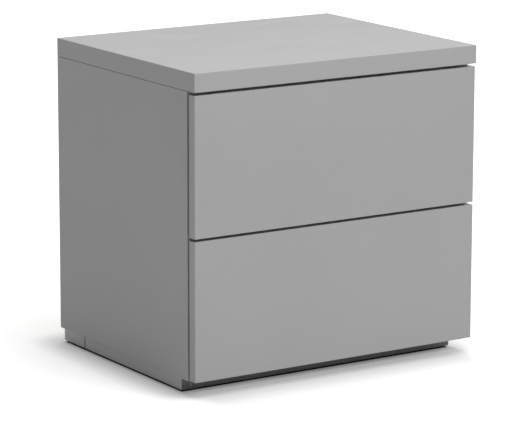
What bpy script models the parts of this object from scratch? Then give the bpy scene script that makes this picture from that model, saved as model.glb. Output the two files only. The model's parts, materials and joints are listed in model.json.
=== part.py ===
"""A two-drawer nightstand in lacquered board, built as its separate pieces.

Metres, +Z up. The origin is on the floor under the middle of the stand. The drawer fronts face -Y, and
+X is on the right of someone who looks at them. Every size follows from the driving dimensions below.
"""

import math

import bmesh
import bpy
from mathutils import Vector

for left_over in list(bpy.data.objects):
    bpy.data.objects.remove(left_over)

# Driving dimensions of the stand.
WIDTH = 0.500
DEPTH = 0.400
HEIGHT = 0.480
TOP_THICKNESS = 0.028
BOARD = 0.016
DRAWER_BOARD = 0.012
HARDBOARD = 0.003
FIT = 0.0003  # the gap left between two pieces that touch

# The drawer fronts and the shadow gaps round them.
FRONT_SETBACK = 0.0015  # the top's edge stands this far proud of the fronts
FRONT_INSET = 0.001
FRONT_FLOOR = 0.025
TOP_GAP = 0.0045
FRONT_GAP = 0.004
PUSH_GAP = 0.0035  # between the fronts and the side panels, for the push that releases a drawer

# The plinth, which stands on thin glides.
SIDE_FLOOR = 0.024
PLINTH_SIDE_INSET = 0.007
PLINTH_FRONT_INSET = 0.050
PLINTH_BLOCK_LENGTH = 0.0625
PLINTH_SEAM = 0.0022
GLIDE_THICKNESS = 0.0025
GLIDE_RADIUS = 0.0075
GLIDE_INSET = 0.018
GLIDE_PIN_RADIUS = 0.0015
GLIDE_PIN_LENGTH = 0.010
GLIDE_EDGE = 0.0006

# The back panel's groove.
BACK_INSET = 0.010
GROOVE_DEPTH = 0.006

# Front rails between the side panels.
RAIL_DEPTH = 0.060

# Drawer boxes, measured up from the bottom edge of their front.
BOX_LIFT = 0.030
BOX_HEIGHT = 0.150
BOX_LENGTH = 0.350
BOTTOM_LIFT = 0.010  # from the box's lower edge to the drawer bottom
BOTTOM_GROOVE = 0.005

# Ball-bearing slides, three bent steel members in each. Each path is the upper half of a member's
# section, along the middle of its sheet from the lip to the web, before its corners are rounded:
# (distance from the side panel, height over the slide's middle).
SLIDE_THICKNESS = 0.013
SLIDE_LIFT = 0.060  # from the box's lower edge to the slide's middle
SLIDE_FRONT = 0.002  # behind the side panel's front edge
SLIDE_LENGTH = 0.350
SHEET = 0.0012
BEND_RADIUS = 0.0016
CASE_MEMBER = [(0.0103, 0.0196), (0.0090, 0.0219), (0.0009, 0.0219)]
MIDDLE_MEMBER = [(0.0110, 0.0154), (0.0098, 0.0172), (0.0036, 0.0172)]
DRAWER_MEMBER = [(0.0059, 0.0116), (0.0070, 0.0125), (0.0121, 0.0125)]
SCREW_HOLE_RADIUS = 0.0022
SCREW_PLACES = (0.035, 0.131, 0.291)  # behind the front end of a case or drawer member
ACCESS_HOLE_RADIUS = 0.0055
ACCESS_PLACES = (0.083, 0.243)  # behind the front end of a middle member

# Push-to-open catches, in the rear ends of the slides, and the striker on each drawer member.
CATCH_LENGTH = 0.0205
CATCH_NEAR = SHEET + 2 * FIT  # from the side panel
CATCH_FAR = 0.0100
CATCH_HALF_HEIGHT = 0.0110
CATCH_CLEARANCE = 0.006  # behind the drawer member
MIDDLE_CLEARANCE = 0.004  # before and behind the middle member
NOTCH_NEAR = 0.0058  # from the side panel
NOTCH_HALF_HEIGHT = 0.0035
NOTCH_LENGTH = 0.010
STRIKER_TONGUE_HALF_HEIGHT = 0.0045
STRIKER_PIN_HALF_HEIGHT = 0.0025
STRIKER_PIN_LENGTH = 0.003
STRIKER_PIN_BACK = 0.0095  # from the end of the drawer member to the pin
STRIKER_CLEARANCE = 0.0008  # from the pin to the bottom of the notch

# Cam fittings.
CAM_RADIUS = 0.0075
CAM_EDGE = 0.0005
CAM_SETBACK = 0.024  # from the joint face to the cam's middle
CAM_BORE_EXTRA = 0.0005
CAM_SLOT_REACH = 0.0045
CAM_SLOT_HALF_WIDTH = 0.0009
CAM_SLOT_DEPTH = 0.0016
TOP_CAM_THICKNESS = 0.012
DRAWER_CAM_THICKNESS = 0.009
BOLT_RADIUS = 0.0026
BOLT_NECK_RADIUS = 0.0014
BOLT_NECK_LENGTH = 0.0032
BOLT_HEAD_RADIUS = 0.0022
BOLT_HEAD_REACH = 0.001  # of the head, either side of the cam's middle
BOLT_EDGE = 0.0006
BOLT_BITE = 0.011
TOP_CAM_SPAN = 0.260
DRAWER_CAM_LIFT = 0.112

# Edges.
LACQUER_EDGE = 0.0007
RAW_EDGE = 0.0004
PLASTIC_EDGE = 0.0010

# Places that follow from those.
TOP_UNDERSIDE = HEIGHT - TOP_THICKNESS
FRONT_HEIGHT = (TOP_UNDERSIDE - TOP_GAP - FRONT_FLOOR - FRONT_GAP) / 2
LOWER_FRONT_Z = FRONT_FLOOR
UPPER_FRONT_Z = FRONT_FLOOR + FRONT_HEIGHT + FRONT_GAP
FRONT_FACE = -DEPTH / 2 + FRONT_SETBACK
FRONT_BACK = FRONT_FACE + BOARD
CASE_FRONT = FRONT_BACK + PUSH_GAP
REAR = DEPTH / 2
INNER_SIDE = WIDTH / 2 - BOARD
BACK_PANEL_FRONT = REAR - BACK_INSET - HARDBOARD
BOX_SIDE = INNER_SIDE - SLIDE_THICKNESS
BOX_INNER = BOX_SIDE - DRAWER_BOARD
BOX_FRONT = FRONT_BACK + FIT
BOX_REAR = BOX_FRONT + BOX_LENGTH
PLINTH_X = WIDTH / 2 - PLINTH_SIDE_INSET
PLINTH_FRONT = -DEPTH / 2 + PLINTH_FRONT_INSET
PLINTH_TOP = SIDE_FLOOR - FIT
BLOCK_FRONT = REAR - PLINTH_BLOCK_LENGTH
MIDDLE_RAIL_Z = UPPER_FRONT_Z - FRONT_GAP / 2 - BOARD / 2
SLIDE_Y = (CASE_FRONT + SLIDE_FRONT, CASE_FRONT + SLIDE_FRONT + SLIDE_LENGTH)
CATCH_Y = (SLIDE_Y[1] - CATCH_LENGTH, SLIDE_Y[1] - FIT)

SIDES = (("left", -1), ("right", 1))
ROUND_SEGMENTS = 20
CAM_SEGMENTS = 24
BOLT_SEGMENTS = 12
HOLE_SEGMENTS = 16
BEND_STEPS = 4
LACQUER_EDGE_STEPS = 3
PLASTIC_EDGE_STEPS = 2
SHARP_ANGLE = math.radians(35)
WELD = 1e-6


def material(name, grey, roughness, metallic=0.0):
    """A Principled material. grey is one value, or a colour of three."""
    made = bpy.data.materials.new(name)
    made.use_nodes = True
    shader = made.node_tree.nodes["Principled BSDF"]
    colour = grey if isinstance(grey, tuple) else (grey, grey, grey)
    shader.inputs["Base Color"].default_value = (*colour, 1.0)
    shader.inputs["Roughness"].default_value = roughness
    shader.inputs["Metallic"].default_value = metallic
    return made


def add(name, mesh, centre, parent=None):
    """Links an object whose mesh is centred on its origin. centre is in world coordinates."""
    made = bpy.data.objects.new(name, mesh)
    bpy.context.scene.collection.objects.link(made)
    made.location = Vector(centre)
    if parent:
        made.parent = parent
        made.location -= parent.location
    return made


def empty(name, place):
    made = bpy.data.objects.new(name, None)
    bpy.context.scene.collection.objects.link(made)
    made.location = place
    return made


def mesh_of(name, shape, finish=None):
    """Turns a bmesh into a mesh with outward normals, and frees it."""
    bmesh.ops.recalc_face_normals(shape, faces=shape.faces)
    mesh = bpy.data.meshes.new(name)
    shape.to_mesh(mesh)
    shape.free()
    if finish:
        mesh.materials.append(finish)
    return mesh


def box_between(name, low, high, finish=None, parent=None):
    low, high = Vector(low), Vector(high)
    shape = bmesh.new()
    bmesh.ops.create_cube(shape, size=1.0)
    bmesh.ops.scale(shape, vec=high - low, verts=shape.verts)
    return add(name, mesh_of(name, shape, finish), (low + high) / 2, parent)


def board(name, low, high, finish, parent=None, edge=RAW_EDGE, steps=1):
    """A board between two corners, its edges eased in one step or rounded in several."""
    made = box_between(name, low, high, finish, parent)
    rounding = made.modifiers.new("edges", "BEVEL")
    rounding.width = edge
    rounding.segments = steps
    rounding.limit_method = "ANGLE"
    return made


def lacquered(name, low, high, finish, parent=None):
    return board(name, low, high, finish, parent, LACQUER_EDGE, LACQUER_EDGE_STEPS)


def rod(name, radius, start, end, segments, parent):
    """A straight cylinder between two points."""
    start, end = Vector(start), Vector(end)
    along = end - start
    shape = bmesh.new()
    turn = along.to_track_quat("Z", "Y").to_matrix().to_4x4()
    bmesh.ops.create_cone(
        shape,
        cap_ends=True,
        segments=segments,
        radius1=radius,
        radius2=radius,
        depth=along.length,
        matrix=turn,
    )
    return add(name, mesh_of(name, shape), (start + end) / 2, parent)


def turned(name, profile, start, direction, finish, parent=None, segments=ROUND_SEGMENTS):
    """A solid turned from (radius, distance along direction) pairs, closed on its axis at both ends."""
    shape = bmesh.new()
    outline = [(0.0, profile[0][1]), *profile, (0.0, profile[-1][1])]
    points = [shape.verts.new((radius, 0.0, along)) for radius, along in outline]
    edges = [shape.edges.new(pair) for pair in zip(points, points[1:])]
    bmesh.ops.spin(
        shape,
        geom=points + edges,
        axis=(0, 0, 1),
        cent=(0, 0, 0),
        angle=math.tau,
        steps=segments,
        use_merge=True,
    )
    bmesh.ops.remove_doubles(shape, verts=shape.verts, dist=WELD)
    turn = Vector(direction).to_track_quat("Z", "Y").to_matrix().to_4x4()
    bmesh.ops.transform(shape, matrix=turn, verts=shape.verts)
    mesh = mesh_of(name, shape, finish)
    mesh.shade_smooth()
    mesh.set_sharp_from_angle(angle=SHARP_ANGLE)
    return add(name, mesh, start, parent)


def combine(piece, helper, operation="DIFFERENCE"):
    """Takes a helper's shape away from a piece, or joins it on, and hides the helper."""
    helper.hide_render = True
    helper.display_type = "WIRE"
    change = piece.modifiers.new(helper.name, "BOOLEAN")
    change.operation = operation
    change.solver = "EXACT"
    change.object = helper


def cut_box(piece, label, low, high):
    combine(piece, box_between(f"cutter_{piece.name}_{label}", low, high, parent=piece.parent))


def cut_rod(piece, label, radius, start, end, segments=ROUND_SEGMENTS):
    combine(piece, rod(f"cutter_{piece.name}_{label}", radius, start, end, segments, piece.parent))


def add_span(piece, label, one, other):
    """Joins on the box between two opposite corners, whichever way round they are given."""
    low, high = sorted_corners(one, other)
    combine(piece, box_between(f"joined_{piece.name}_{label}", low, high, parent=piece.parent), "UNION")


def cut_span(piece, label, one, other):
    """Cuts the box between two opposite corners, whichever way round they are given."""
    cut_box(piece, label, *sorted_corners(one, other))


def sorted_corners(one, other):
    low = [min(a, b) for a, b in zip(one, other)]
    high = [max(a, b) for a, b in zip(one, other)]
    return low, high


def rounded(path, radius, steps):
    """The path with each corner turned into an arc."""
    made = [path[0]]
    for before, corner, after in zip(path, path[1:], path[2:]):
        back = (before - corner).normalized()
        on = (after - corner).normalized()
        half_turn = (math.pi - back.angle(on)) / 2
        centre = corner + (back + on).normalized() * (radius / math.cos(half_turn))
        first = corner + back * (radius * math.tan(half_turn)) - centre
        last = corner + on * (radius * math.tan(half_turn)) - centre
        made += [centre + first.lerp(last, i / steps).normalized() * radius for i in range(steps + 1)]
    return made + [path[-1]]


def strip_outline(path, thickness):
    """The closed outline of a bent sheet, from the path of its middle."""
    steps = [(after - before).normalized() for before, after in zip(path, path[1:])]
    near = []
    far = []
    for point, before, after in zip(path, steps[:1] + steps, steps + steps[-1:]):
        along = (before + after).normalized()
        mitre = Vector((-along.y, along.x))
        square = Vector((-before.y, before.x))
        reach = mitre * (thickness / 2 / mitre.dot(square))
        near.append(point + reach)
        far.append(point - reach)
    return near + far[::-1]


def channel(name, half_path, side, middle_z, span, finish, parent=None):
    """A slide member: a bent sheet, mirrored about its middle height, that runs along Y."""
    path = [Vector(point) for point in half_path]
    path += [Vector((x, -z)) for x, z in reversed(half_path)]
    outline = strip_outline(rounded(path, BEND_RADIUS, BEND_STEPS), SHEET)
    shape = bmesh.new()
    ring = [shape.verts.new((side * (INNER_SIDE - x), 0.0, z)) for x, z in outline]
    face = shape.faces.new(ring)
    grown = bmesh.ops.extrude_face_region(shape, geom=[face])
    moved = [item for item in grown["geom"] if isinstance(item, bmesh.types.BMVert)]
    bmesh.ops.translate(shape, verts=moved, vec=(0, span[1] - span[0], 0))
    mesh = mesh_of(name, shape, finish)
    mesh.shade_smooth()
    mesh.set_sharp_from_angle(angle=SHARP_ANGLE)
    return add(name, mesh, (0, span[0], middle_z), parent)


def punch(member, web, side, middle_z, front_y, places, radius):
    """Punches round holes through a member's web, at these distances behind its front end."""
    x = side * (INNER_SIDE - web)
    for i, place in enumerate(places):
        y = front_y + place
        cut_rod(
            member,
            f"hole_{i}",
            radius,
            (x - SHEET, y, middle_z),
            (x + SHEET, y, middle_z),
            HOLE_SEGMENTS,
        )


def make_case(lacquer, hardboard):
    """Top, side panels, bottom, back and front rails."""
    top = lacquered(
        "top_panel", (-WIDTH / 2, -DEPTH / 2, TOP_UNDERSIDE), (WIDTH / 2, DEPTH / 2, HEIGHT), lacquer
    )
    groove_y = (BACK_PANEL_FRONT - FIT, BACK_PANEL_FRONT + HARDBOARD + FIT)
    groove_x = INNER_SIDE + GROOVE_DEPTH
    cut_box(
        top,
        "groove",
        (-groove_x, groove_y[0], TOP_UNDERSIDE - BOARD),
        (groove_x, groove_y[1], TOP_UNDERSIDE + GROOVE_DEPTH),
    )
    for side, sign in SIDES:
        panel = lacquered(
            f"side_panel_{side}",
            (min(sign * INNER_SIDE, sign * WIDTH / 2), CASE_FRONT, SIDE_FLOOR),
            (max(sign * INNER_SIDE, sign * WIDTH / 2), REAR, TOP_UNDERSIDE - FIT),
            lacquer,
        )
        across = sorted((sign * (INNER_SIDE - BOARD), sign * groove_x))
        cut_box(panel, "groove", (across[0], groove_y[0], 0.0), (across[1], groove_y[1], HEIGHT))
        for place, y in (("front", -TOP_CAM_SPAN / 2), ("rear", TOP_CAM_SPAN / 2)):
            make_top_fitting(f"{place}_{side}", sign, y, top, panel)
    inner = INNER_SIDE - FIT
    board(
        "bottom_panel",
        (-inner, CASE_FRONT, SIDE_FLOOR),
        (inner, BACK_PANEL_FRONT - FIT, SIDE_FLOOR + BOARD),
        lacquer,
    )
    board(
        "top_front_rail",
        (-inner, CASE_FRONT, TOP_UNDERSIDE - BOARD - FIT),
        (inner, CASE_FRONT + RAIL_DEPTH, TOP_UNDERSIDE - FIT),
        lacquer,
    )
    board(
        "middle_front_rail",
        (-inner, CASE_FRONT, MIDDLE_RAIL_Z),
        (inner, CASE_FRONT + RAIL_DEPTH, MIDDLE_RAIL_Z + BOARD),
        lacquer,
    )
    tongue = GROOVE_DEPTH - 2 * FIT
    board(
        "back_panel",
        (-INNER_SIDE - tongue, BACK_PANEL_FRONT, SIDE_FLOOR + FIT),
        (INNER_SIDE + tongue, BACK_PANEL_FRONT + HARDBOARD, TOP_UNDERSIDE + tongue),
        hardboard,
    )


def make_plinth(lacquer, nylon):
    """A frame of low boards: two sides, a front, and a rear rail between two corner blocks."""
    low, high = GLIDE_THICKNESS + FIT, PLINTH_TOP
    inner = PLINTH_X - BOARD
    for side, sign in SIDES:
        across = sorted((sign * inner, sign * PLINTH_X))
        rail = lacquered(
            f"plinth_side_{side}",
            (across[0], PLINTH_FRONT, low),
            (across[1], BLOCK_FRONT - PLINTH_SEAM, high),
            lacquer,
        )
        block = lacquered(
            f"plinth_corner_block_{side}", (across[0], BLOCK_FRONT, low), (across[1], REAR, high), lacquer
        )
        make_glide(f"glide_front_{side}", sign, PLINTH_FRONT + GLIDE_INSET, rail, nylon)
        make_glide(f"glide_rear_{side}", sign, REAR - GLIDE_INSET, block, nylon)
    board(
        "plinth_front", (-inner + FIT, PLINTH_FRONT, low), (inner - FIT, PLINTH_FRONT + BOARD, high), lacquer
    )
    board("plinth_rear_rail", (-inner + FIT, REAR - BOARD, low), (inner - FIT, REAR, high), lacquer)


def make_glide(name, sign, y, rail, nylon):
    """A nail-in glide: a disc on the floor with a pin up into the plinth."""
    x = sign * (PLINTH_X - BOARD / 2)
    pin_end = GLIDE_THICKNESS + GLIDE_PIN_LENGTH
    profile = [
        (GLIDE_RADIUS - GLIDE_EDGE, 0.0),
        (GLIDE_RADIUS, GLIDE_EDGE),
        (GLIDE_RADIUS, GLIDE_THICKNESS - GLIDE_EDGE),
        (GLIDE_RADIUS - GLIDE_EDGE, GLIDE_THICKNESS),
        (GLIDE_PIN_RADIUS, GLIDE_THICKNESS),
        (GLIDE_PIN_RADIUS, pin_end - GLIDE_EDGE),
        (GLIDE_PIN_RADIUS - GLIDE_EDGE, pin_end),
    ]
    turned(name, profile, (x, y, 0.0), (0, 0, 1), nylon)
    cut_rod(rail, "glide", GLIDE_PIN_RADIUS + FIT, (x, y, -BOARD), (x, y, pin_end + FIT))


def make_cam(name, face, inward, bolt_from, thickness, bolt_depth, parent=None):
    """A cam lock: a disc whose face has a cross slot, with a side mouth for its bolt.

    face is the middle of the visible face, inward points into the board, bolt_from points at the joint.
    """
    face, inward, bolt_from = Vector(face), Vector(inward), Vector(bolt_from)
    disc = [
        (CAM_RADIUS - CAM_EDGE, 0.0),
        (CAM_RADIUS, CAM_EDGE),
        (CAM_RADIUS, thickness - CAM_EDGE),
        (CAM_RADIUS - CAM_EDGE, thickness),
    ]
    cam = turned(name, disc, face, inward, FINISH["zinc"], parent, CAM_SEGMENTS)
    across = inward.cross(bolt_from)
    sunk = inward * CAM_SLOT_DEPTH
    for label, along, beside in (("slot", bolt_from, across), ("cross_slot", across, bolt_from)):
        reach = along * CAM_SLOT_REACH + beside * CAM_SLOT_HALF_WIDTH
        cut_span(cam, label, face - reach - sunk, face + reach + sunk)
    middle = face + inward * bolt_depth
    half_mouth = (inward + across) * (BOLT_RADIUS + FIT)
    outside = middle + bolt_from * 2 * CAM_RADIUS
    cut_span(cam, "mouth", middle - half_mouth - bolt_from * (BOLT_RADIUS + FIT), outside + half_mouth)


def make_bolt(name, joint, direction, parent=None):
    """A cam bolt from inside one board, past the joint, to a head at the cam's middle."""
    neck_start = CAM_SETBACK - BOLT_NECK_LENGTH - BOLT_HEAD_REACH
    neck_end = neck_start + BOLT_NECK_LENGTH
    profile = [
        (BOLT_RADIUS - BOLT_EDGE, -BOLT_BITE),
        (BOLT_RADIUS, -BOLT_BITE + BOLT_EDGE),
        (BOLT_RADIUS, neck_start - BOLT_EDGE),
        (BOLT_NECK_RADIUS, neck_start),
        (BOLT_NECK_RADIUS, neck_end),
        (BOLT_HEAD_RADIUS, neck_end + BOLT_EDGE),
        (BOLT_HEAD_RADIUS, CAM_SETBACK + BOLT_HEAD_REACH),
    ]
    turned(name, profile, joint, direction, FINISH["steel"], parent, BOLT_SEGMENTS)


def bore_for_fitting(case_board, held_board, label, joint, direction, cam_face, inward, cam_thickness):
    """The bolt's bore in both boards and the cam's blind bore."""
    joint, direction = Vector(joint), Vector(direction)
    radius = BOLT_RADIUS + FIT
    cut_rod(
        held_board, f"bolt_{label}", radius, joint - direction * (BOLT_BITE + FIT), joint + direction * BOARD
    )
    cut_rod(case_board, f"bolt_{label}", radius, joint - direction * BOARD, joint + direction * CAM_SETBACK)
    face, inward = Vector(cam_face), Vector(inward)
    cut_rod(
        case_board,
        f"cam_{label}",
        CAM_RADIUS + FIT,
        face - inward * BOARD,
        face + inward * (cam_thickness + CAM_BORE_EXTRA),
    )


def make_top_fitting(label, sign, y, top, panel):
    """One of the four cams and bolts that pull the top down on the side panels."""
    joint = (sign * (INNER_SIDE + BOARD / 2), y, TOP_UNDERSIDE)
    inward = (sign, 0, 0)
    cam_face = (sign * (INNER_SIDE + FIT), y, TOP_UNDERSIDE - CAM_SETBACK)
    bore_for_fitting(panel, top, label, joint, (0, 0, -1), cam_face, inward, TOP_CAM_THICKNESS)
    make_cam(f"top_cam_{label}", cam_face, inward, (0, 0, 1), TOP_CAM_THICKNESS, BOARD / 2 - FIT)
    make_bolt(f"top_cam_bolt_{label}", joint, (0, 0, -1))


def make_drawer(name, front_z):
    """One drawer: lacquered front, box, cams and the slide members that ride with it."""
    holder = empty(name, (0.0, FRONT_BACK, front_z))
    box_z = front_z + BOX_LIFT
    front_x = WIDTH / 2 - FRONT_INSET
    front = lacquered(
        f"{name}_front",
        (-front_x, FRONT_FACE, front_z),
        (front_x, FRONT_BACK, front_z + FRONT_HEIGHT),
        FINISH["lacquer"],
        holder,
    )
    bottom_z = (box_z + BOTTOM_LIFT, box_z + BOTTOM_LIFT + HARDBOARD + 2 * FIT)
    groove_x = BOX_INNER + BOTTOM_GROOVE
    groove_front = FRONT_BACK - BOTTOM_GROOVE
    cut_box(
        front, "groove", (-groove_x, groove_front, bottom_z[0]), (groove_x, FRONT_BACK + BOARD, bottom_z[1])
    )
    for side, sign in SIDES:
        across = sorted((sign * BOX_INNER, sign * BOX_SIDE))
        wall = board(
            f"{name}_side_{side}",
            (across[0], BOX_FRONT, box_z),
            (across[1], BOX_REAR, box_z + BOX_HEIGHT),
            FINISH["melamine"],
            holder,
        )
        groove = sorted((sign * (BOX_INNER - BOARD), sign * groove_x))
        cut_box(
            wall,
            "groove",
            (groove[0], BOX_FRONT - BOARD, bottom_z[0]),
            (groove[1], BOX_REAR + BOARD, bottom_z[1]),
        )
        make_drawer_fitting(name, side, sign, box_z + DRAWER_CAM_LIFT, front, wall, holder)
        make_drawer_member(f"{name}_slide_{side}_drawer_member", sign, box_z + SLIDE_LIFT, holder)
    board(
        f"{name}_back",
        (-BOX_INNER + FIT, BOX_REAR - DRAWER_BOARD, bottom_z[1]),
        (BOX_INNER - FIT, BOX_REAR, box_z + BOX_HEIGHT),
        FINISH["melamine"],
        holder,
    )
    tongue = groove_x - FIT
    board(
        f"{name}_bottom",
        (-tongue, groove_front + FIT, bottom_z[0] + FIT),
        (tongue, BOX_REAR, bottom_z[1] - FIT),
        FINISH["hardboard"],
        holder,
    )


def make_drawer_member(name, sign, middle_z, holder):
    """The slide member on the drawer, with a tongue and a pin that strikes the push-to-open catch."""
    end = CATCH_Y[0] - CATCH_CLEARANCE
    member = channel(name, DRAWER_MEMBER, sign, middle_z, (SLIDE_Y[0], end), FINISH["zinc"], holder)
    web = DRAWER_MEMBER[-1][0]
    punch(member, web, sign, middle_z, SLIDE_Y[0], SCREW_PLACES, SCREW_HOLE_RADIUS)
    pin_y = end + STRIKER_PIN_BACK
    tongue_x = (sign * (INNER_SIDE - web - SHEET / 2), sign * (INNER_SIDE - web + SHEET / 2))
    add_span(
        member,
        "tongue",
        (tongue_x[0], end - SHEET, middle_z - STRIKER_TONGUE_HALF_HEIGHT),
        (tongue_x[1], pin_y + STRIKER_PIN_LENGTH, middle_z + STRIKER_TONGUE_HALF_HEIGHT),
    )
    add_span(
        member,
        "pin",
        (tongue_x[0], pin_y, middle_z - STRIKER_PIN_HALF_HEIGHT),
        (
            sign * (INNER_SIDE - NOTCH_NEAR - STRIKER_CLEARANCE),
            pin_y + STRIKER_PIN_LENGTH,
            middle_z + STRIKER_PIN_HALF_HEIGHT,
        ),
    )


def make_drawer_fitting(name, side, sign, z, front, wall, holder):
    """The cam and bolt that pull a drawer's side on to its front."""
    joint = (sign * (BOX_INNER + DRAWER_BOARD / 2), BOX_FRONT, z)
    inward = (sign, 0, 0)
    cam_face = (sign * (BOX_INNER + FIT), BOX_FRONT + CAM_SETBACK, z)
    bolt_depth = DRAWER_BOARD / 2 - FIT
    bore_for_fitting(wall, front, side, joint, (0, 1, 0), cam_face, inward, DRAWER_CAM_THICKNESS)
    make_cam(f"{name}_cam_{side}", cam_face, inward, (0, -1, 0), DRAWER_CAM_THICKNESS, bolt_depth, holder)
    make_bolt(f"{name}_cam_bolt_{side}", joint, (0, 1, 0), holder)


def make_fixed_slides(name, front_z):
    """The slide members that stay on the side panels, and those that travel half as far as the drawer."""
    middle_z = front_z + BOX_LIFT + SLIDE_LIFT
    for side, sign in SIDES:
        label = f"{name}_slide_{side}"
        case_member = channel(f"{label}_case_member", CASE_MEMBER, sign, middle_z, SLIDE_Y, FINISH["zinc"])
        punch(case_member, CASE_MEMBER[-1][0], sign, middle_z, SLIDE_Y[0], SCREW_PLACES, SCREW_HOLE_RADIUS)
        traveller = empty(f"{label}_traveller", (0.0, SLIDE_Y[0], middle_z))
        span = (SLIDE_Y[0] + MIDDLE_CLEARANCE, CATCH_Y[0] - MIDDLE_CLEARANCE)
        middle = channel(
            f"{label}_middle_member", MIDDLE_MEMBER, sign, middle_z, span, FINISH["zinc"], traveller
        )
        punch(middle, MIDDLE_MEMBER[-1][0], sign, middle_z, span[0], ACCESS_PLACES, ACCESS_HOLE_RADIUS)
        make_catch(f"{label}_push_catch", sign, middle_z)


def make_catch(name, sign, middle_z):
    """The push-to-open catch in the rear end of a slide, with the notch that takes the striker."""
    across = sorted((sign * (INNER_SIDE - CATCH_NEAR), sign * (INNER_SIDE - CATCH_FAR)))
    body = board(
        name,
        (across[0], CATCH_Y[0], middle_z - CATCH_HALF_HEIGHT),
        (across[1], CATCH_Y[1], middle_z + CATCH_HALF_HEIGHT),
        FINISH["black plastic"],
        edge=PLASTIC_EDGE,
        steps=PLASTIC_EDGE_STEPS,
    )
    notch = sorted((sign * (INNER_SIDE - NOTCH_NEAR), sign * (INNER_SIDE - CATCH_FAR - BOARD)))
    cut_box(
        body,
        "notch",
        (notch[0], CATCH_Y[0] - BOARD, middle_z - NOTCH_HALF_HEIGHT),
        (notch[1], CATCH_Y[0] + NOTCH_LENGTH, middle_z + NOTCH_HALF_HEIGHT),
    )


FINISH = {
    "lacquer": material("grey_lacquer", 0.37, 0.22),
    "melamine": material("grey_melamine", 0.42, 0.55),
    "hardboard": material("hardboard", (0.36, 0.29, 0.22), 0.70),
    "zinc": material("zinc_plated_steel", 0.66, 0.32, 1.0),
    "steel": material("bolt_steel", 0.55, 0.38, 1.0),
    "black plastic": material("black_plastic", 0.03, 0.45),
    "nylon": material("dark_nylon", 0.04, 0.60),
}
make_case(FINISH["lacquer"], FINISH["hardboard"])
make_plinth(FINISH["lacquer"], FINISH["nylon"])
for drawer_name, drawer_front_z in (("upper_drawer", UPPER_FRONT_Z), ("lower_drawer", LOWER_FRONT_Z)):
    make_drawer(drawer_name, drawer_front_z)
    make_fixed_slides(drawer_name, drawer_front_z)
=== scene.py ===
# The looks of a nightstand with two drawers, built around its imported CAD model.
#
# Metres, +Z up, drawer fronts facing -Y. The boards, cams, slides and glides are the CAD nodes themselves,
# with procedural finishes. The small parts added here are the slides' balls and cages, their screws, and the
# back panel's nails.

import json
import math

import bmesh
import bpy
from mathutils import Matrix, Vector


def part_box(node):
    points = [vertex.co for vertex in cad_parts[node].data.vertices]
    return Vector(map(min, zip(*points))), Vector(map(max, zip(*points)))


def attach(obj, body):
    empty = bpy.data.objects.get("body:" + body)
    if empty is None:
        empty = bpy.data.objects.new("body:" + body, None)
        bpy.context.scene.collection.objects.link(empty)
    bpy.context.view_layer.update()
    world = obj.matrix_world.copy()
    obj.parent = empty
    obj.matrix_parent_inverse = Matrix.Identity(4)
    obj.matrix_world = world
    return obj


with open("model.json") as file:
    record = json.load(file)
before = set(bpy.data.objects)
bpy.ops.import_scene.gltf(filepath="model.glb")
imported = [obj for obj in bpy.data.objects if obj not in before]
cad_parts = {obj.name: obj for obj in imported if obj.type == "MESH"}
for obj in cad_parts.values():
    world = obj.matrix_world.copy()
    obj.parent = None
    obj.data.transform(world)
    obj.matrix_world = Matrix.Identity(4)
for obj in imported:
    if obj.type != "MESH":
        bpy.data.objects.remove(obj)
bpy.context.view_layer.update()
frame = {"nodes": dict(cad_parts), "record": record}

NODES = frame["nodes"]
DRAWERS = ("upper_drawer", "lower_drawer")
SIDES = (("left", -1), ("right", 1))
MM = 0.001

# The slides' small parts.
SHEET = 1.2 * MM
BALL_PITCH = 6 * MM
BALLS_IN_A_ROW = 14
BALL_PLAY = 0.1 * MM
BALL_START = 12 * MM  # behind the front end of the member that carries the cage
CAGE_THICKNESS = 0.45 * MM
CAGE_WIDTH = 5.2 * MM
CAGE_WINDOW_POINTS = 16
SCREW_PLACES = (35 * MM, 131 * MM, 291 * MM)  # behind the front end of a case or drawer member
SCREW_STEPS = 24  # round a head
SCREW_DOME = (0.3, 0.6, 0.9, 1.15, 1.35)  # angles from the head's crown, in radians
SCREW_SHANK = (1.9 * MM, 1.0 * MM)  # radius and length
CASE_SCREW_HEAD = (3.4 * MM, 0.9 * MM)  # radius and height
CASE_SCREW_CROSS = (1.7 * MM, 0.35 * MM, 0.6 * MM)  # an arm's length, its half width and its depth
DRAWER_SCREW_HEAD = (3.7 * MM, 1.9 * MM)
DRAWER_SCREW_CROSS = (2.0 * MM, 0.42 * MM, 1.2 * MM)
CROSS_TAPER = 0.55

# The back panel's nails.
NAIL_HEAD = (1.6 * MM, 0.6 * MM)
NAIL_SHANK = (0.7 * MM, 3.0 * MM)
NAIL_COUNT = 5
NAIL_EDGE = 40 * MM
NAIL_LIFT = 8 * MM

SMOOTH_ANGLE = math.radians(35)

# The lacquer's shades, as linear greys.
LACQUER_CLOUD = (0.355, 0.372)
LACQUER_SPECK = 0.345
LACQUER_WORN_AND_HIGHLIGHT = 0.45  # lighter along the sharp edges: partly wear where the film is thin, partly painted highlight
LACQUER_WORN_AND_HIGHLIGHT_REACH = 0.9 * MM
LACQUER_PAINTED_FRONT_SHADE = (0.37, 0.33)  # painted shade: the darker grey of a face toward -Y, and its specks
# Painted light: the plinth's lacquer is a lighter copy, for the light it gets from the floor. Its front is
# darker, painted shade under the overhang.
PLINTH_PAINTED_LIGHT = 1.4  # times the shades above
PLINTH_PAINTED_FRONT_SHADE = 0.40

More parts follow.
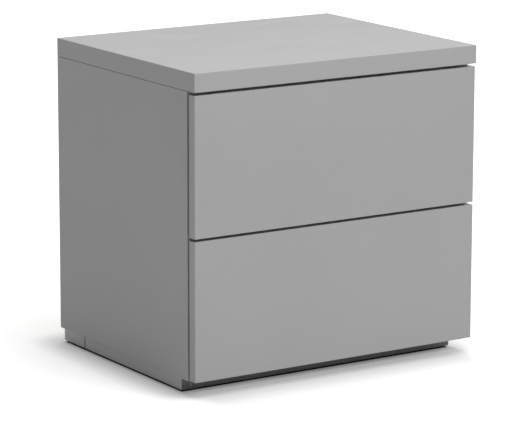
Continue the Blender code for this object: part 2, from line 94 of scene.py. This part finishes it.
# The camera, and the light it sees the stand in.
CAMERA_PLACE = (-2.4183, -3.7193, 1.1613)
CAMERA_YAW = math.radians(33.022)
CAMERA_PITCH = math.radians(12.049)
CAMERA_ROLL = math.radians(0.125)
CAMERA_LENS = 200.83
CAMERA_CLIP = (0.1, 200.0)
FLOOR_RADIUS = 60.0
FLOOR_POINTS = 96
FLOOR_SHADE = (0.77, 0.78)
PAINTED_FOOT_SHADOW = 0.04  # painted shadow: the dark paper under the plinth, for the shade in the gap at its foot
# Painted light: the paper glows for camera rays, less near the plinth, which paints the contact shadow's
# shape.
FLOOR_LIFT_REACH = 0.45
FLOOR_LIFT_BESIDE = (  # distance from the plinth, and how much the paper glows there, painted light
    (0.0, 0.11),
    (0.015, 0.11),
    (0.06, 0.37),
    (0.45, 0.62),
)
FLOOR_LIFT_BEFORE = (  # the same, ahead of the plinth's front
    (0.0, 0.28),
    (0.02, 0.32),
    (0.042, 0.14),
    (0.06, 0.10),
    (0.10, 0.22),
    (0.45, 0.62),
)
FOOT_EDGE = 1 * MM  # how far the lit paper reaches in under the plinth
LIFT_BLEND = 20 * MM
ROOM_SEEN = 1.1  # the room's strength where the camera sees it
ROOM_LOBES = (  # the way each lobe of the room's light comes from, and its strength
    ((0.54, 0.82, 0.3), 0.70),
    ((0.0, 0.0, 1.0), 0.42),
    ((0.7, -1.0, 0.5), 0.80),
)
LOBE_EDGE = 0.2  # cosine of a lobe's half width
OVERHEAD_STRENGTH = 0.69
OVERHEAD_ANGLE = math.radians(15)
OVERHEAD_PLACE = (0, 0, 3)
OVERHEAD_TARGET = (0, 0, 0)
SOFTBOX_PLACE = (0.1, -1.0, 1.5)
SOFTBOX_TARGET = (0, 0, 0.3)
SOFTBOX_SIZE = 0.8
SOFTBOX_POWER = 8.5


# Node helpers. Every texture reads the object's own coordinates, which are metres in the stand's frame.


class Finish:
    """A Principled material under construction."""

    def __init__(self, name):
        self.material = bpy.data.materials.new(name)
        self.material.use_nodes = True
        self.tree = self.material.node_tree
        self.shader = self.tree.nodes["Principled BSDF"]
        self.coordinates = self.add("ShaderNodeTexCoord").outputs["Object"]

    def add(self, kind, **settings):
        node = self.tree.nodes.new(kind)
        for name, value in settings.items():
            setattr(node, name, value)
        return node

    def link(self, source, target):
        self.tree.links.new(source, target)

    def set(self, **values):
        """Sets the shader's own sockets, by their names with _ for a space."""
        for name, value in values.items():
            self.shader.inputs[name.replace("_", " ")].default_value = value

    def stretched(self, scale):
        """The coordinates, scaled by a different amount on each axis."""
        mapping = self.add("ShaderNodeMapping")
        self.link(self.coordinates, mapping.inputs["Vector"])
        mapping.inputs["Scale"].default_value = scale
        return mapping.outputs["Vector"]

    def noise(self, scale, detail=2.0, roughness=0.5, at=None):
        node = self.add("ShaderNodeTexNoise")
        self.link(at or self.coordinates, node.inputs["Vector"])
        node.inputs["Scale"].default_value = scale
        node.inputs["Detail"].default_value = detail
        node.inputs["Roughness"].default_value = roughness
        return node.outputs["Fac"]

    def spread(self, value, low, high, start=0.3, end=0.7):
        """Maps start to end of a value on to low to high, and stops there."""
        node = self.add("ShaderNodeMapRange")
        self.link(value, node.inputs["Value"])
        node.inputs["From Min"].default_value = start
        node.inputs["From Max"].default_value = end
        node.inputs["To Min"].default_value = low
        node.inputs["To Max"].default_value = high
        return node.outputs["Result"]

    def ramp(self, value, reach, stops):
        """A curve through (value, result) pairs, from 0 to reach."""
        scaled = self.math("DIVIDE", value, reach)
        node = self.add("ShaderNodeValToRGB")
        self.link(scaled, node.inputs["Fac"])
        steps = node.color_ramp.elements
        steps.remove(steps[-1])
        steps[0].position = stops[0][0] / reach
        for place, _ in stops[1:]:
            steps.new(place / reach)
        for step, (_, level) in zip(steps, stops):
            step.color = (level, level, level, 1.0)
        return node.outputs["Color"]

    def mix(self, factor, one, other):
        """One colour or the other. Each is an output or three numbers."""
        node = self.add("ShaderNodeMix", data_type="RGBA")
        self.link(factor, node.inputs["Factor"])
        for name, value in (("A", one), ("B", other)):
            socket = [s for s in node.inputs if s.name == name and s.type == "RGBA"][0]
            if isinstance(value, bpy.types.NodeSocket):
                self.link(value, socket)
            else:
                socket.default_value = (*value, 1.0)
        return [s for s in node.outputs if s.type == "RGBA"][0]

    def math(self, operation, one, other=None):
        node = self.add("ShaderNodeMath", operation=operation)
        for socket, value in zip(node.inputs, (one, other)):
            if isinstance(value, bpy.types.NodeSocket):
                self.link(value, socket)
            elif value is not None:
                socket.default_value = value
        return node.outputs["Value"]

    def vector(self, operation, one, other=None):
        node = self.add("ShaderNodeVectorMath", operation=operation)
        for socket, value in zip(node.inputs, (one, other)):
            if isinstance(value, bpy.types.NodeSocket):
                self.link(value, socket)
            elif value is not None:
                socket.default_value = value
        return node.outputs["Value" if operation == "LENGTH" else "Vector"]

    def bump(self, height, distance, strength=1.0, under=None):
        node = self.add("ShaderNodeBump")
        self.link(height, node.inputs["Height"])
        node.inputs["Distance"].default_value = distance
        node.inputs["Strength"].default_value = strength
        if under:
            self.link(under, node.inputs["Normal"])
        return node.outputs["Normal"]

    def facing(self, axis, start=0.4, end=0.6):
        """1 where the surface's own normal points along +axis, 0 elsewhere."""
        separate = self.add("ShaderNodeSeparateXYZ")
        self.link(self.add("ShaderNodeTexCoord").outputs["Normal"], separate.inputs["Vector"])
        return self.spread(separate.outputs["XYZ".index(axis)], 0.0, 1.0, start, end)

    def edges(self, radius):
        """1 along the sharp edges, 0 on the open faces."""
        bevel = self.add("ShaderNodeBevel", samples=4)
        bevel.inputs["Radius"].default_value = radius
        geometry = self.add("ShaderNodeNewGeometry")
        dot = self.add("ShaderNodeVectorMath", operation="DOT_PRODUCT")
        self.link(bevel.outputs["Normal"], dot.inputs[0])
        self.link(geometry.outputs["True Normal"], dot.inputs[1])
        return self.spread(dot.outputs["Value"], 1.0, 0.0, 0.80, 0.99)

    def colour(self, source):
        self.link(source, self.shader.inputs["Base Color"])

    def rough(self, source):
        self.link(source, self.shader.inputs["Roughness"])

    def normal(self, source):
        self.link(source, self.shader.inputs["Normal"])


def grey(value):
    return (value, value, value)


def lacquer(name, shade=1.0, painted_front_shade=None):
    """Sprayed satin-gloss lacquer: cloudy film thickness, orange peel, edges lighter (wear and painted
    highlight).

    painted_front_shade paints the face toward -Y a darker grey, as painted shade. A shade above 1 is painted
    light.
    """
    finish = Finish(name)
    finish.set(Coat_Weight=0.35, Coat_Roughness=0.10, Coat_IOR=1.5)
    thin, thick = (grey(value * shade) for value in LACQUER_CLOUD)
    cloud = finish.mix(finish.spread(finish.noise(4.0, 3.0), 0.0, 1.0), thin, thick)
    speck = finish.spread(finish.noise(900.0, 1.0), 0.0, 1.0, 0.62, 0.72)
    body = finish.mix(speck, cloud, grey(LACQUER_SPECK * shade))
    # Painted highlight, partly wear: the sharp edges are coloured lighter.
    sharp = finish.edges(LACQUER_WORN_AND_HIGHLIGHT_REACH)
    worn_and_highlit = finish.math("MULTIPLY", sharp, finish.spread(finish.noise(60.0, 4.0), 0.35, 1.0))
    coat = finish.mix(worn_and_highlit, body, grey(LACQUER_WORN_AND_HIGHLIGHT * shade))
    # Painted shade: the face toward -Y is coloured a darker grey, for the shade it sits in.
    if painted_front_shade:
        painted_shade_mask = finish.facing("Y", -0.7, -0.9)
        shaded_plain, shaded_specked = (grey(value * painted_front_shade) for value in LACQUER_PAINTED_FRONT_SHADE)
        coat = finish.mix(painted_shade_mask, coat, finish.mix(speck, shaded_plain, shaded_specked))
    finish.colour(coat)
    finish.rough(finish.spread(finish.noise(14.0, 4.0), 0.30, 0.38))
    peel = finish.bump(finish.noise(330.0, 1.5), 0.02 * MM, 0.6)
    finish.normal(finish.bump(finish.noise(38.0, 1.0), 0.08 * MM, 0.25, peel))
    return finish.material


def melamine():
    """Melamine paper pressed with a fine woven emboss, and smoother banded top edges."""
    finish = Finish("grey_melamine")
    finish.set(Coat_Weight=0.0)
    threads = []
    for scale in ((900.0, 900.0, 60.0), (60.0, 60.0, 900.0)):
        threads.append(finish.noise(1.0, 2.0, 0.6, finish.stretched(scale)))
    weave = finish.math("MULTIPLY", threads[0], threads[1])
    banded = finish.facing("Z")
    weave = finish.math("MULTIPLY", weave, finish.spread(banded, 1.0, 0.2, 0.0, 1.0))
    cloud = finish.mix(finish.spread(finish.noise(6.0, 3.0), 0.0, 1.0), grey(0.40), grey(0.43))
    finish.colour(finish.mix(finish.spread(weave, 0.0, 0.6, 0.18, 0.34), cloud, grey(0.36)))
    finish.rough(finish.spread(weave, 0.48, 0.62, 0.18, 0.34))
    finish.normal(finish.bump(weave, 0.06 * MM, 0.7))
    return finish.material


def hardboard(name, good_side):
    """Thin hardboard: a grey printed face where the normal points along good_side, pressed fibre behind."""
    finish = Finish(name)
    finish.set(Coat_Weight=0.0)
    axis, sign = good_side
    toward = finish.facing(axis, 0.4 * sign, 0.6 * sign)
    fibre = finish.noise(1.0, 6.0, 0.7, finish.stretched((700.0, 700.0, 700.0)))
    mat = finish.noise(90.0, 5.0, 0.65)
    raw = finish.mix(finish.spread(fibre, 0.0, 1.0), (0.235, 0.155, 0.088), (0.36, 0.255, 0.16))
    raw = finish.mix(finish.spread(mat, 0.0, 0.55), raw, (0.21, 0.14, 0.08))
    printed = finish.mix(finish.spread(finish.noise(240.0, 3.0), 0.0, 1.0), grey(0.375), grey(0.41))
    finish.colour(finish.mix(toward, raw, printed))
    smooth = finish.spread(finish.noise(50.0, 3.0), 0.42, 0.52)
    finish.rough(finish.math("ADD", smooth, finish.spread(toward, 0.32, 0.0, 0.0, 1.0)))
    finish.normal(finish.bump(fibre, 0.08 * MM, 0.5))
    return finish.material


def rolled_steel(name, tint, low, high):
    """Plated sheet with faint streaks along its length."""
    finish = Finish(name)
    finish.set(Metallic=1.0)
    streaks = finish.noise(1.0, 4.0, 0.6, finish.stretched((1400.0, 26.0, 1400.0)))
    cloud = finish.noise(45.0, 3.0)
    dull = tuple(c * 0.82 for c in tint)
    finish.colour(finish.mix(finish.spread(cloud, 0.0, 1.0), tint, dull))
    finish.rough(finish.spread(streaks, low, high))
    finish.normal(finish.bump(streaks, 0.012 * MM, 0.5))
    return finish.material


def turned_steel(name, tint, low, high):
    """Small turned, cast or polished parts."""
    finish = Finish(name)
    finish.set(Metallic=1.0)
    grain = finish.noise(1500.0, 3.0)
    finish.colour(finish.mix(finish.spread(grain, 0.0, 1.0), tint, tuple(c * 0.85 for c in tint)))
    finish.rough(finish.spread(finish.noise(700.0, 2.0), low, high))
    finish.normal(finish.bump(grain, 0.01 * MM, 0.4))
    return finish.material


def moulded_plastic(name, base, low, high):
    """Moulded plastic with the fine grain of a spark-eroded mould."""
    finish = Finish(name)
    grain = finish.noise(1800.0, 2.0)
    shade = finish.mix(finish.spread(finish.noise(80.0, 3.0), 0.0, 1.0), grey(base), grey(base * 1.35))
    finish.colour(shade)
    finish.rough(finish.spread(grain, low, high))
    finish.normal(finish.bump(grain, 0.02 * MM, 0.6))
    return finish.material


FINISHES = {
    "grey_lacquer": lacquer("grey_lacquer"),
    "grey_melamine": melamine(),
    "zinc_plated_steel": rolled_steel("zinc_plated_steel", (0.66, 0.67, 0.69), 0.24, 0.40),
    "bolt_steel": turned_steel("bolt_steel", (0.55, 0.55, 0.55), 0.30, 0.42),
    "black_plastic": moulded_plastic("black_plastic", 0.022, 0.42, 0.56),
    "dark_nylon": moulded_plastic("dark_nylon", 0.030, 0.50, 0.64),
}
# The plinth's lacquer: lighter as painted light, and darker on its front as painted shade.
PLINTH_LACQUER_PAINTED_LIGHT_AND_SHADE = lacquer("plinth_lacquer_painted_light_and_shade", PLINTH_PAINTED_LIGHT, PLINTH_PAINTED_FRONT_SHADE)
BACK_HARDBOARD = hardboard("hardboard_back", ("Y", -1))
BOTTOM_HARDBOARD = hardboard("hardboard_bottom", ("Z", 1))
BALL_STEEL = turned_steel("ball_steel", (0.74, 0.74, 0.75), 0.08, 0.16)
CAST_ZINC = turned_steel("cast_zinc", (0.60, 0.61, 0.62), 0.30, 0.46)


def finish_cad_nodes():
    """Gives each CAD node its finish, by the record's material slots."""
    for entry in frame["record"]["subparts"]:
        name = entry["node"]
        made = FINISHES.get(entry["material_slot"])
        if entry["material_slot"] == "hardboard":
            made = BACK_HARDBOARD if name == "back_panel" else BOTTOM_HARDBOARD
        if "_cam_" in name and "bolt" not in name:
            made = CAST_ZINC
        # The plinth gets the lacquer with painted light on it and painted shade on its front.
        if name.startswith("plinth"):
            made = PLINTH_LACQUER_PAINTED_LIGHT_AND_SHADE
        for slot in NODES[name].material_slots:
            slot.material = made


def new_piece(name, mesh, finish, body):
    """Links a piece whose mesh is in the stand's frame, and makes it ride."""
    mesh.materials.clear()
    mesh.materials.append(finish)
    piece = bpy.data.objects.new(name, mesh)
    bpy.context.scene.collection.objects.link(piece)
    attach(piece, body)
    return piece


def mesh_from(shape, name):
    bmesh.ops.recalc_face_normals(shape, faces=shape.faces)
    mesh = bpy.data.meshes.new(name)
    shape.to_mesh(mesh)
    shape.free()
    mesh.shade_smooth()
    mesh.set_sharp_from_angle(angle=SMOOTH_ANGLE)
    return mesh


def ball_row(shape, x, z, places, radius):
    for y in places:
        bmesh.ops.create_icosphere(shape, subdivisions=2, radius=radius, matrix=Matrix.Translation((x, y, z)))


def cage_strip(shape, x, z, places, window):
    """A flat strip with a round window at each ball, of two skins joined round every edge."""
    skins = []
    for height in (z - CAGE_THICKNESS / 2, z + CAGE_THICKNESS / 2):
        skin = bmesh.new()
        for y in places:
            rims = ([], [])
            for i in range(CAGE_WINDOW_POINTS):
                angle = math.tau * (i + 0.5) / CAGE_WINDOW_POINTS
                c, s = math.cos(angle), math.sin(angle)
                reach = 1 / max(abs(c), abs(s))
                rims[0].append(skin.verts.new((x + window * c, y + window * s, height)))
                corner = (x + c * reach * CAGE_WIDTH / 2, y + s * reach * BALL_PITCH / 2, height)
                rims[1].append(skin.verts.new(corner))
            for i in range(CAGE_WINDOW_POINTS):
                j = (i + 1) % CAGE_WINDOW_POINTS
                skin.faces.new((rims[0][i], rims[0][j], rims[1][j], rims[1][i]))
        bmesh.ops.remove_doubles(skin, verts=skin.verts, dist=0.01 * MM)
        skins.append(skin)
    joined = bmesh.new()
    for skin in skins:
        mesh = bpy.data.meshes.new("skin")
        skin.to_mesh(mesh)
        skin.free()
        joined.from_mesh(mesh)
        bpy.data.meshes.remove(mesh)
    rims = [edge for edge in joined.edges if edge.is_boundary]
    bmesh.ops.bridge_loops(joined, edges=rims)
    mesh = bpy.data.meshes.new("strip")
    joined.to_mesh(mesh)
    joined.free()
    shape.from_mesh(mesh)
    bpy.data.meshes.remove(mesh)


def ball_race(name, outer_box, inner_box, front_y, body):
    """The balls, and the cage that spaces them, above and below, between two nested slide members."""
    x_low = max(outer_box[0].x, inner_box[0].x)
    x_high = min(outer_box[1].x, inner_box[1].x)
    x = (x_low + x_high) / 2
    radius = (outer_box[1].z - SHEET - inner_box[1].z) / 2 - BALL_PLAY
    places = [front_y + BALL_START + i * BALL_PITCH for i in range(BALLS_IN_A_ROW)]
    balls, cage = bmesh.new(), bmesh.new()
    middle = (outer_box[0].z + outer_box[1].z) / 2
    for side in (-1, 1):
        z = middle + side * ((outer_box[1].z + inner_box[1].z - SHEET) / 2 - middle)
        ball_row(balls, x, z, places, radius)
        cage_strip(cage, x, z, places, radius + 2 * BALL_PLAY)
    new_piece(f"{name}_balls", mesh_from(balls, name), BALL_STEEL, body)
    new_piece(f"{name}_cage", mesh_from(cage, name), FINISHES["zinc_plated_steel"], body)


def screw_mesh(head, shank, cross=None):
    """A domed head with the start of its shank, and a cross recess on a screw. The head's seat is at z 0."""
    radius, height = head
    shank_radius, shank_length = shank
    shape = bmesh.new()
    outline = [(0.0, height)]
    outline += [(radius * math.sin(a), height * math.cos(a) ** 0.7) for a in SCREW_DOME]
    outline += [(radius, 0.12 * height), (radius, 0.0), (shank_radius, 0.0)]
    outline += [(shank_radius, -shank_length), (0.0, -shank_length)]
    points = [shape.verts.new((r, 0.0, z)) for r, z in outline]
    edges = [shape.edges.new(pair) for pair in zip(points, points[1:])]
    bmesh.ops.spin(
        shape,
        geom=points + edges,
        axis=(0, 0, 1),
        cent=(0, 0, 0),
        angle=math.tau,
        steps=SCREW_STEPS,
        use_merge=True,
    )
    bmesh.ops.remove_doubles(shape, verts=shape.verts, dist=0.001 * MM)
    mesh = mesh_from(shape, "screw")
    if not cross:
        return mesh
    arm, half_width, depth = cross
    body = bpy.data.objects.new("screw", mesh)
    bpy.context.scene.collection.objects.link(body)
    tools = []
    for length, width in ((arm, half_width), (half_width, arm)):
        block = bmesh.new()
        bmesh.ops.create_cube(block, size=2.0)
        for vert in block.verts:
            taper = 1.0 if vert.co.z > 0 else CROSS_TAPER
            vert.co = Vector((vert.co.x * length * taper, vert.co.y * width, vert.co.z * depth + height))
        tool = bpy.data.objects.new("recess", mesh_from(block, "recess"))
        bpy.context.scene.collection.objects.link(tool)
        recess = body.modifiers.new("recess", "BOOLEAN")
        recess.object = tool
        tools.append(tool)
    cut = bpy.data.meshes.new_from_object(body.evaluated_get(bpy.context.evaluated_depsgraph_get()))
    for helper in (body, *tools):
        bpy.data.objects.remove(helper)
    cut.shade_smooth()
    cut.set_sharp_from_angle(angle=SMOOTH_ANGLE)
    return cut


def placed(mesh, place, direction, turn=0.0):
    """A copy of a mesh, moved so that its +Z points along direction from place."""
    made = mesh.copy()
    matrix = Vector(direction).to_track_quat("Z", "Y").to_matrix().to_4x4()
    made.transform(Matrix.Translation(place) @ matrix @ Matrix.Rotation(turn, 4, "Z"))
    return made


def slide_parts():
    """Balls, cages and screws of the four slides."""
    case_screw = screw_mesh(CASE_SCREW_HEAD, SCREW_SHANK, CASE_SCREW_CROSS)
    drawer_screw = screw_mesh(DRAWER_SCREW_HEAD, SCREW_SHANK, DRAWER_SCREW_CROSS)
    zinc = FINISHES["zinc_plated_steel"]
    for drawer in DRAWERS:
        for side, sign in SIDES:
            name = f"{drawer}_slide_{side}"
            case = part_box(f"{name}_case_member")
            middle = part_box(f"{name}_middle_member")
            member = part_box(f"{name}_drawer_member")
            ball_race(f"{name}_outer", case, middle, case[0].y, "carcass")
            ball_race(f"{name}_inner", middle, member, middle[0].y, f"{name}_middle")
            z = (case[0].z + case[1].z) / 2
            web = case[0].x + SHEET if sign < 0 else case[1].x - SHEET
            drawer_web = member[1].x - SHEET if sign < 0 else member[0].x + SHEET
            for i, place in enumerate(SCREW_PLACES):
                y = case[0].y + place
                turn = 0.4 + 0.9 * i + (0.3 if side == "left" else 0.0)
                mesh = placed(case_screw, (web, y, z), (-sign, 0, 0), turn)
                new_piece(f"{name}_case_screw_{i + 1}", mesh, zinc, "carcass")
                mesh = placed(drawer_screw, (drawer_web, y, z), (sign, 0, 0), turn + 0.5)
                new_piece(f"{name}_drawer_screw_{i + 1}", mesh, zinc, drawer)


def back_nails():
    """Nails along the back panel's lower edge, into the rear edge of the bottom panel."""
    nail = screw_mesh(NAIL_HEAD, NAIL_SHANK)
    low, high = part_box("back_panel")
    first, last = low.x + NAIL_EDGE, high.x - NAIL_EDGE
    for i in range(NAIL_COUNT):
        x = first + (last - first) * i / (NAIL_COUNT - 1)
        mesh = placed(nail, (x, high.y, low.z + NAIL_LIFT), (0, 1, 0))
        new_piece(f"back_panel_nail_{i + 1}", mesh, FINISHES["bolt_steel"], "carcass")


def floor_paper():
    """White backdrop paper that glows where the camera sees it, as painted light shaping the contact shadow.

    Painted shadow: the paper under the plinth is coloured dark, and shows as the thin line at the plinth's
    foot.
    """
    finish = Finish("floor_paper")
    finish.set(Roughness=0.9, Specular_IOR_Level=0.0, Emission_Color=(1.0, 1.0, 1.0, 1.0))
    low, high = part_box("plinth_side_left")[0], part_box("plinth_corner_block_right")[1]
    middle, half = (low + high) / 2, (high - low) / 2
    place = finish.vector("SUBTRACT", finish.coordinates, (middle.x, middle.y, 0.0))
    outside = finish.vector("SUBTRACT", finish.vector("ABSOLUTE", place), (half.x, half.y, 0.0))
    separate = finish.add("ShaderNodeSeparateXYZ")
    finish.link(outside, separate.inputs["Vector"])
    nearest = finish.math("MAXIMUM", separate.outputs["X"], separate.outputs["Y"])
    open_paper = finish.math("GREATER_THAN", nearest, -FOOT_EDGE)
    paper = finish.mix(finish.noise(2.0), *(grey(shade) for shade in FLOOR_SHADE))
    # Painted shadow: inside the plinth's footprint the paper is coloured dark.
    finish.colour(finish.mix(open_paper, grey(PAINTED_FOOT_SHADOW), paper))
    away = finish.vector("LENGTH", finish.vector("MAXIMUM", outside, (0.0, 0.0, 0.0)))
    beside, before = (
        finish.ramp(away, FLOOR_LIFT_REACH, stops) for stops in (FLOOR_LIFT_BESIDE, FLOOR_LIFT_BEFORE)
    )
    along = finish.add("ShaderNodeSeparateXYZ")
    finish.link(place, along.inputs["Vector"])
    ahead = finish.spread(along.outputs["Y"], 0.0, 1.0, -half.y, -half.y - LIFT_BLEND)
    across = finish.spread(separate.outputs["X"], 1.0, 0.0, -LIFT_BLEND, LIFT_BLEND)
    in_front = finish.math("MULTIPLY", ahead, across)
    # Painted light: where the camera sees it, the paper glows by the lift, which shapes the contact shadow.
    seen = finish.add("ShaderNodeLightPath").outputs["Is Camera Ray"]
    lift = finish.math("MULTIPLY", finish.mix(in_front, beside, before), open_paper)
    finish.link(finish.math("MULTIPLY", lift, seen), finish.shader.inputs["Emission Strength"])
    return finish.material


def make_floor():
    """A wide white floor."""
    shape = bmesh.new()
    bmesh.ops.create_circle(shape, cap_ends=True, segments=FLOOR_POINTS, radius=FLOOR_RADIUS)
    mesh = bpy.data.meshes.new("floor")
    shape.to_mesh(mesh)
    shape.free()
    mesh.materials.append(floor_paper())
    floor = bpy.data.objects.new("floor", mesh)
    bpy.context.scene.collection.objects.link(floor)


def link_light(light, place, target):
    """Hangs a light at a place, shining at a target."""
    lamp = bpy.data.objects.new(light.name, light)
    bpy.context.scene.collection.objects.link(lamp)
    lamp.location = place
    lamp.rotation_euler = (Vector(place) - Vector(target)).to_track_quat("Z", "Y").to_euler()


def add_up(tree, total, value):
    """The sum so far plus one more value."""
    if total is None:
        return value
    node = tree.nodes.new("ShaderNodeMath")
    tree.links.new(total, node.inputs[0])
    tree.links.new(value, node.inputs[1])
    return node.outputs["Value"]


def make_room():
    """A white room for the camera, which lights the stand in three soft lobes."""
    world = bpy.data.worlds.new("room")
    bpy.context.scene.world = world
    world.use_nodes = True
    tree = world.node_tree
    ambient = tree.nodes["Background"]
    direction = tree.nodes.new("ShaderNodeTexCoord").outputs["Generated"]
    total = None
    for toward, strength in ROOM_LOBES:
        dot = tree.nodes.new("ShaderNodeVectorMath")
        dot.operation = "DOT_PRODUCT"
        dot.inputs[1].default_value = Vector(toward).normalized()
        tree.links.new(direction, dot.inputs[0])
        lobe = tree.nodes.new("ShaderNodeMapRange")
        lobe.interpolation_type = "SMOOTHSTEP"
        lobe.inputs["From Min"].default_value = LOBE_EDGE
        lobe.inputs["To Max"].default_value = strength
        tree.links.new(dot.outputs["Value"], lobe.inputs["Value"])
        total = add_up(tree, total, lobe.outputs["Result"])
    tree.links.new(total, ambient.inputs["Strength"])
    ambient.inputs["Color"].default_value = (1.0, 1.0, 1.0, 1.0)
    seen = tree.nodes.new("ShaderNodeBackground")
    seen.inputs["Color"].default_value = (1.0, 1.0, 1.0, 1.0)
    seen.inputs["Strength"].default_value = ROOM_SEEN
    path = tree.nodes.new("ShaderNodeLightPath")
    mix = tree.nodes.new("ShaderNodeMixShader")
    tree.links.new(path.outputs["Is Camera Ray"], mix.inputs["Fac"])
    tree.links.new(ambient.outputs["Background"], mix.inputs[1])
    tree.links.new(seen.outputs["Background"], mix.inputs[2])
    tree.links.new(mix.outputs["Shader"], tree.nodes["World Output"].inputs["Surface"])


def make_lights():
    """A broad light straight overhead and a softbox above and in front of the stand."""
    overhead = bpy.data.lights.new("overhead", "SUN")
    overhead.energy = OVERHEAD_STRENGTH
    overhead.angle = OVERHEAD_ANGLE
    link_light(overhead, OVERHEAD_PLACE, OVERHEAD_TARGET)
    softbox = bpy.data.lights.new("softbox", "AREA")
    softbox.shape = "DISK"
    softbox.size = SOFTBOX_SIZE
    softbox.energy = SOFTBOX_POWER
    link_light(softbox, SOFTBOX_PLACE, SOFTBOX_TARGET)


def make_camera():
    camera = bpy.data.cameras.new("camera")
    camera.lens = CAMERA_LENS
    camera.clip_start, camera.clip_end = CAMERA_CLIP
    holder = bpy.data.objects.new("camera", camera)
    bpy.context.scene.collection.objects.link(holder)
    ahead = Vector(
        (
            math.sin(CAMERA_YAW) * math.cos(CAMERA_PITCH),
            math.cos(CAMERA_YAW) * math.cos(CAMERA_PITCH),
            -math.sin(CAMERA_PITCH),
        )
    )
    level = Vector((math.cos(CAMERA_YAW), -math.sin(CAMERA_YAW), 0.0))
    upright = level.cross(ahead)
    right = level * math.cos(CAMERA_ROLL) + upright * math.sin(CAMERA_ROLL)
    up = upright * math.cos(CAMERA_ROLL) - level * math.sin(CAMERA_ROLL)
    holder.matrix_world = Matrix.Translation(CAMERA_PLACE) @ Matrix((right, up, -ahead)).transposed().to_4x4()
    bpy.context.scene.camera = holder


make_camera()
finish_cad_nodes()
slide_parts()
back_nails()
make_floor()
make_room()
make_lights()
bpy.context.scene.view_settings.view_transform = "Standard"
